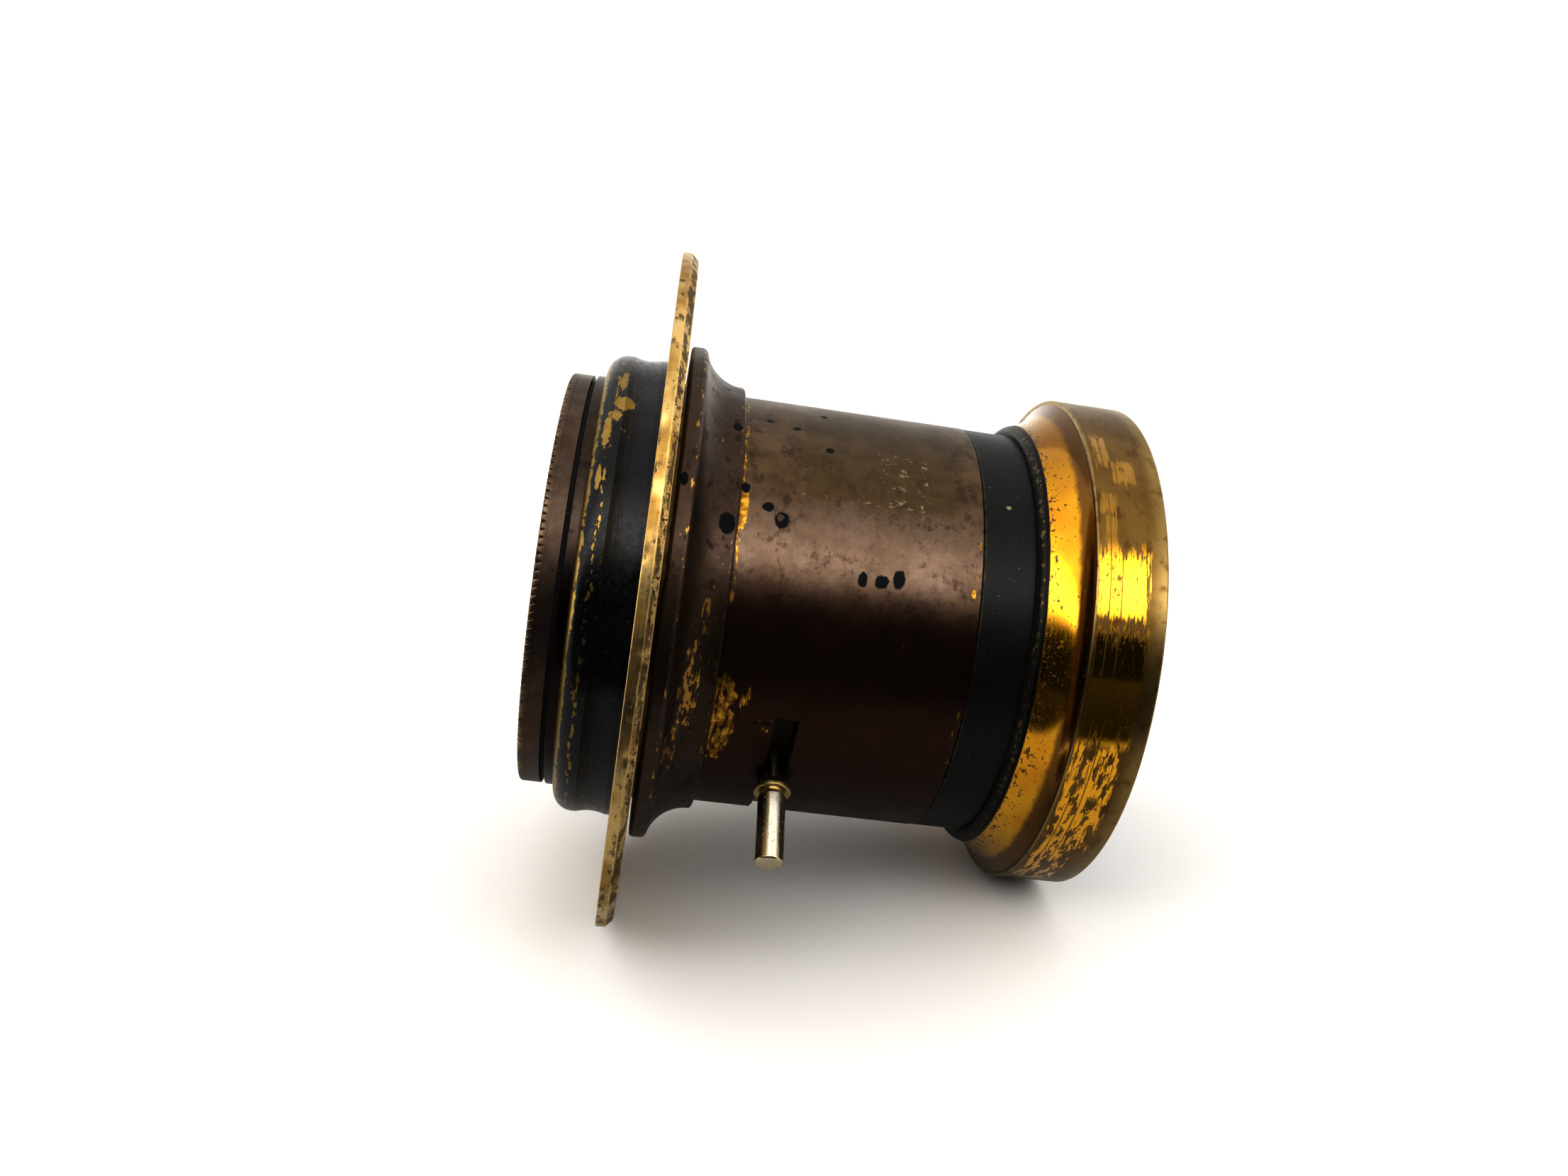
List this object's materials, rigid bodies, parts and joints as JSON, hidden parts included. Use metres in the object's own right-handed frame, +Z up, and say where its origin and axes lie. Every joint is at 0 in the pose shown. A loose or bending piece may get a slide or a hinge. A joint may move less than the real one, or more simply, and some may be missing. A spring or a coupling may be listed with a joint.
{
  "type": "brass portrait lens",
  "caption": "Brass camera lens: a screwed barrel with an iris and control pin, a mounting flange, and unscrewing front and rear glass cells.",
  "frame": {"origin": "centre of the flange's rear seating face, on the optical axis", "axes": "+X along the optical axis towards the subject, +Z up; the iris control pin stands out on the -Y side, below level"},
  "size_m": [0.0826, 0.101, 0.101],
  "materials": {
    "worn_brass": "worn satin brass with dark pitting",
    "black_lacquer": "satin black lacquer, chipped at its edges",
    "bronzed_brass": "brown bronzing with fine turning marks, worn at its edges",
    "lacquered_brass": "polished lacquered brass with small dark spots",
    "tarnished_brass": "dull tarnished brass with bright lacquer patches",
    "blackened_brass": "matt blackened brass",
    "iris_brass": "dull brass",
    "nickel_silver": "bright nickel silver",
    "blued_steel": "thin blued steel",
    "crown_glass": "polished uncoated crown glass",
    "flint_glass": "polished uncoated flint glass"
  },
  "bodies": {
    "flange": {"flange_plate": "worn_brass", "flange_collar": "black_lacquer"},
    "shoulder": {"shoulder_ring": "bronzed_brass"},
    "barrel": {"barrel_tube": "bronzed_brass", "iris_pivot_plate": "blackened_brass", "iris_retaining_ring": "blackened_brass"},
    "iris_control": {"iris_drive_ring": "iris_brass", "iris_pin": "nickel_silver", "iris_pin_collar": "iris_brass"},
    "front_glass": {"front_crown_glass": "crown_glass", "front_flint_glass": "flint_glass"},
    "front_cell": {"front_cell_tube": "black_lacquer", "front_bell": "lacquered_brass", "front_hood_ring": "tarnished_brass", "front_retaining_ring": "blackened_brass"},
    "rear_glass": {"rear_crown_glass": "crown_glass", "rear_flint_glass": "flint_glass", "rear_spacer_ring": "blackened_brass"},
    "rear_cell": {"rear_cell_ring": "bronzed_brass", "rear_retaining_ring": "blackened_brass"},
    "blade_01": {"iris_blade_01": "blued_steel"},
    "blade_02": {"iris_blade_02": "blued_steel"},
    "blade_03": {"iris_blade_03": "blued_steel"},
    "blade_04": {"iris_blade_04": "blued_steel"},
    "blade_05": {"iris_blade_05": "blued_steel"},
    "blade_06": {"iris_blade_06": "blued_steel"},
    "blade_07": {"iris_blade_07": "blued_steel"},
    "blade_08": {"iris_blade_08": "blued_steel"},
    "blade_09": {"iris_blade_09": "blued_steel"},
    "blade_10": {"iris_blade_10": "blued_steel"},
    "blade_11": {"iris_blade_11": "blued_steel"},
    "blade_12": {"iris_blade_12": "blued_steel"}
  },
  "joints": [
    {"name": "lens_advance", "type": "slide", "parent": "flange", "child": "shoulder", "axis": [1, 0, 0], "range_m": [-0.00078, 0.00847]},
    {"name": "lens_unscrew", "type": "hinge", "parent": "shoulder", "child": "barrel", "pos_m": [0, 0, 0], "axis": [1, 0, 0], "range_deg": [-265, 2880]},
    {"name": "iris_turn", "type": "hinge", "parent": "barrel", "child": "iris_control", "pos_m": [0.022, 0, 0], "axis": [1, 0, 0], "range_deg": [-20, 40]},
    {"name": "front_advance", "type": "slide", "parent": "barrel", "child": "front_glass", "axis": [1, 0, 0], "range_m": [0, 0.00476]},
    {"name": "front_unscrew", "type": "hinge", "parent": "front_glass", "child": "front_cell", "pos_m": [0.0454, 0, 0], "axis": [1, 0, 0], "range_deg": [0, 2160]},
    {"name": "rear_advance", "type": "slide", "parent": "barrel", "child": "rear_glass", "axis": [-1, 0, 0], "range_m": [0, 0.00556]},
    {"name": "rear_unscrew", "type": "hinge", "parent": "rear_glass", "child": "rear_cell", "pos_m": [-0.01, 0, 0], "axis": [-1, 0, 0], "range_deg": [0, 2520]},
    {"name": "blade_01_swing", "type": "hinge", "parent": "barrel", "child": "blade_01", "pos_m": [0.0165, 0.02044, 0.01277], "axis": [1, 0, 0], "range_deg": [-10, 20]},
    {"name": "blade_02_swing", "type": "hinge", "parent": "barrel", "child": "blade_02", "pos_m": [0.0165, 0.01131, 0.02128], "axis": [1, 0, 0], "range_deg": [-10, 20]},
    {"name": "blade_03_swing", "type": "hinge", "parent": "barrel", "child": "blade_03", "pos_m": [0.0165, -0.00084, 0.02409], "axis": [1, 0, 0], "range_deg": [-10, 20]},
    {"name": "blade_04_swing", "type": "hinge", "parent": "barrel", "child": "blade_04", "pos_m": [0.0165, -0.01277, 0.02044], "axis": [1, 0, 0], "range_deg": [-10, 20]},
    {"name": "blade_05_swing", "type": "hinge", "parent": "barrel", "child": "blade_05", "pos_m": [0.0165, -0.02128, 0.01131], "axis": [1, 0, 0], "range_deg": [-10, 20]},
    {"name": "blade_06_swing", "type": "hinge", "parent": "barrel", "child": "blade_06", "pos_m": [0.0165, -0.02409, -0.00084], "axis": [1, 0, 0], "range_deg": [-10, 20]},
    {"name": "blade_07_swing", "type": "hinge", "parent": "barrel", "child": "blade_07", "pos_m": [0.0165, -0.02044, -0.01277], "axis": [1, 0, 0], "range_deg": [-10, 20]},
    {"name": "blade_08_swing", "type": "hinge", "parent": "barrel", "child": "blade_08", "pos_m": [0.0165, -0.01131, -0.02128], "axis": [1, 0, 0], "range_deg": [-10, 20]},
    {"name": "blade_09_swing", "type": "hinge", "parent": "barrel", "child": "blade_09", "pos_m": [0.0165, 0.00084, -0.02409], "axis": [1, 0, 0], "range_deg": [-10, 20]},
    {"name": "blade_10_swing", "type": "hinge", "parent": "barrel", "child": "blade_10", "pos_m": [0.0165, 0.01277, -0.02044], "axis": [1, 0, 0], "range_deg": [-10, 20]},
    {"name": "blade_11_swing", "type": "hinge", "parent": "barrel", "child": "blade_11", "pos_m": [0.0165, 0.02128, -0.01131], "axis": [1, 0, 0], "range_deg": [-10, 20]},
    {"name": "blade_12_swing", "type": "hinge", "parent": "barrel", "child": "blade_12", "pos_m": [0.0165, 0.02409, 0.00084], "axis": [1, 0, 0], "range_deg": [-10, 20]}
  ],
  "couplings": [
    {"joint": "lens_advance", "follows": "lens_unscrew", "m_per_rad": 0.00016844},
    {"joint": "front_advance", "follows": "front_unscrew", "m_per_rad": 0.00012633},
    {"joint": "rear_advance", "follows": "rear_unscrew", "m_per_rad": 0.00012633},
    {"joint": "blade_01_swing", "follows": "iris_turn", "ratio": 0.5},
    {"joint": "blade_02_swing", "follows": "iris_turn", "ratio": 0.5},
    {"joint": "blade_03_swing", "follows": "iris_turn", "ratio": 0.5},
    {"joint": "blade_04_swing", "follows": "iris_turn", "ratio": 0.5},
    {"joint": "blade_05_swing", "follows": "iris_turn", "ratio": 0.5},
    {"joint": "blade_06_swing", "follows": "iris_turn", "ratio": 0.5},
    {"joint": "blade_07_swing", "follows": "iris_turn", "ratio": 0.5},
    {"joint": "blade_08_swing", "follows": "iris_turn", "ratio": 0.5},
    {"joint": "blade_09_swing", "follows": "iris_turn", "ratio": 0.5},
    {"joint": "blade_10_swing", "follows": "iris_turn", "ratio": 0.5},
    {"joint": "blade_11_swing", "follows": "iris_turn", "ratio": 0.5},
    {"joint": "blade_12_swing", "follows": "iris_turn", "ratio": 0.5}
  ]
}
